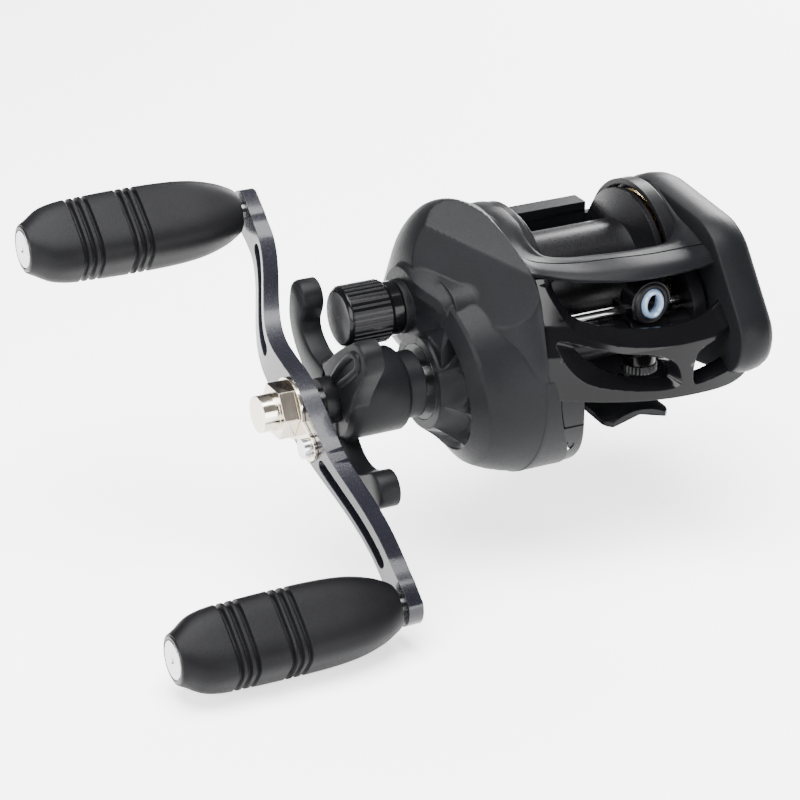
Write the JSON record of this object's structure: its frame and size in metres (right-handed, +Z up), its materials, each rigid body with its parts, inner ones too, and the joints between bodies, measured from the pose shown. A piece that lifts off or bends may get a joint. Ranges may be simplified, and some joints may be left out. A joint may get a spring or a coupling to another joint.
{
  "type": "baitcasting fishing reel",
  "caption": "Low-profile baitcasting reel: case with spool, line guide, star drag, tension knob and double-grip crank handle.",
  "frame": {"origin": "middle of the reel foot's underside, where it rests on the rod seat", "axes": "+X along the spool axis away from the handle, -Y towards the line guide, +Z up from the rod"},
  "size_m": [0.1318, 0.0858, 0.0706],
  "materials": {
    "case_black": "fine matte charcoal moulding",
    "gloss_black": "polished black moulding",
    "frame_black": "satin black coating on die-cast aluminium",
    "arm_black": "gloss black anodised aluminium",
    "spool_dark": "dark anodised, machined",
    "steel": "bright turned stainless steel",
    "nickel": "nickel plated",
    "brass": "machined",
    "bronze": "sintered bushing metal",
    "grip_rubber": "soft matte charcoal",
    "cap_silver": "bright spun disc",
    "eye_ceramic": "polished grey-blue",
    "carbon": "woven drag washer",
    "dial_black": "satin",
    "brake_poly": "moulded brake blocks"
  },
  "bodies": {
    "reel": {"frame": "frame_black", "reel_foot": "frame_black", "foot_rivets": "steel", "gear_side_frame": "frame_black", "front_nose": "gloss_black", "top_hood": "case_black", "gear_side_cover": "case_black", "palm_side_cover": "case_black", "case_screw": "steel", "palm_screw": "steel", "brake_ring": "brass", "pinion_bearing": "steel", "spool_bearing_gear": "steel", "spool_bearing_palm": "steel", "drive_shaft_bearing": "steel", "roller_bearing": "frame_black", "tension_shims": "brass", "yoke_post": "steel", "yoke_spring": "steel", "worm_tube": "frame_black", "worm_bush": "bronze", "guide_rod": "steel"},
    "handle": {"drive_shaft": "steel", "drive_gear": "brass", "ratchet": "steel", "level_wind_gear": "carbon", "drag_washers": "carbon", "pressure_plate": "steel", "roller_sleeve": "steel", "handle_arm": "arm_black", "handle_nut": "nickel", "nut_retainer": "nickel", "retainer_screw": "steel", "grip_posts": "steel", "drag_spring_stack": "frame_black"},
    "star": {"star_drag": "frame_black"},
    "rear_grip": {"grip_rear": "grip_rubber", "grip_cap_rear": "cap_silver", "grip_bushes_rear": "bronze"},
    "front_grip": {"grip_front": "grip_rubber", "grip_cap_front": "cap_silver", "grip_bushes_front": "bronze"},
    "spool_body": {"spool": "spool_dark", "spool_shaft": "steel", "brake_blocks": "brake_poly"},
    "pinion_body": {"pinion": "brass"},
    "yoke_body": {"yoke": "carbon"},
    "thumb_bar_body": {"thumb_bar": "case_black"},
    "worm_body": {"worm": "steel", "worm_gear": "carbon"},
    "line_guide": {"guide_carriage": "gloss_black", "eye_ring": "eye_ceramic", "pawl": "steel", "pawl_cap": "dial_black"},
    "tension": {"tension_knob": "dial_black"},
    "brake": {"brake_dial": "dial_black", "dial_stem": "steel"}
  },
  "joints": [
    {"name": "handle_turn", "type": "hinge", "parent": "reel", "child": "handle", "pos_m": [-0.05, -0.007, 0.00723], "axis": [1, 0, 0], "continuous": true},
    {"name": "star_turn", "type": "hinge", "parent": "handle", "child": "star", "pos_m": [-0.05, -0.007, 0.00723], "axis": [1, 0, 0], "range_deg": [-270, 270]},
    {"name": "rear_grip_spin", "type": "hinge", "parent": "handle", "child": "rear_grip", "pos_m": [-0.08, 0.02767, 0.03432], "axis": [1, 0, 0], "continuous": true},
    {"name": "front_grip_spin", "type": "hinge", "parent": "handle", "child": "front_grip", "pos_m": [-0.08, -0.04167, -0.01986], "axis": [1, 0, 0], "continuous": true},
    {"name": "spool_spin", "type": "hinge", "parent": "reel", "child": "spool_body", "pos_m": [0, 0, 0.0205], "axis": [1, 0, 0], "continuous": true},
    {"name": "clutch_press", "type": "slide", "parent": "reel", "child": "thumb_bar_body", "axis": [0, 0, -1], "range_m": [0, 0.005], "stiffness_N_per_m": 300, "springref_m": -0.001},
    {"name": "yoke_shift", "type": "slide", "parent": "reel", "child": "yoke_body", "axis": [-1, 0, 0], "range_m": [0, 0.0012]},
    {"name": "pinion_spin", "type": "hinge", "parent": "yoke_body", "child": "pinion_body", "pos_m": [-0.027, 0, 0.0205], "axis": [1, 0, 0], "continuous": true},
    {"name": "worm_spin", "type": "hinge", "parent": "reel", "child": "worm_body", "pos_m": [0, -0.021, 0.01498], "axis": [1, 0, 0], "continuous": true},
    {"name": "line_guide_travel", "type": "slide", "parent": "reel", "child": "line_guide", "axis": [1, 0, 0], "range_m": [-0.0122, 0.0052]},
    {"name": "tension_turn", "type": "hinge", "parent": "reel", "child": "tension", "pos_m": [-0.045, 0, 0.0205], "axis": [1, 0, 0], "range_deg": [-180, 180]},
    {"name": "brake_turn", "type": "hinge", "parent": "reel", "child": "brake", "pos_m": [0.026, 0, 0.0205], "axis": [1, 0, 0], "range_deg": [0, 270]}
  ],
  "couplings": [
    {"joint": "spool_spin", "follows": "handle_turn", "ratio": -5.8182},
    {"joint": "pinion_spin", "follows": "handle_turn", "ratio": -5.8182},
    {"joint": "worm_spin", "follows": "handle_turn", "ratio": -3},
    {"joint": "yoke_shift", "follows": "clutch_press", "ratio": 0.24}
  ]
}
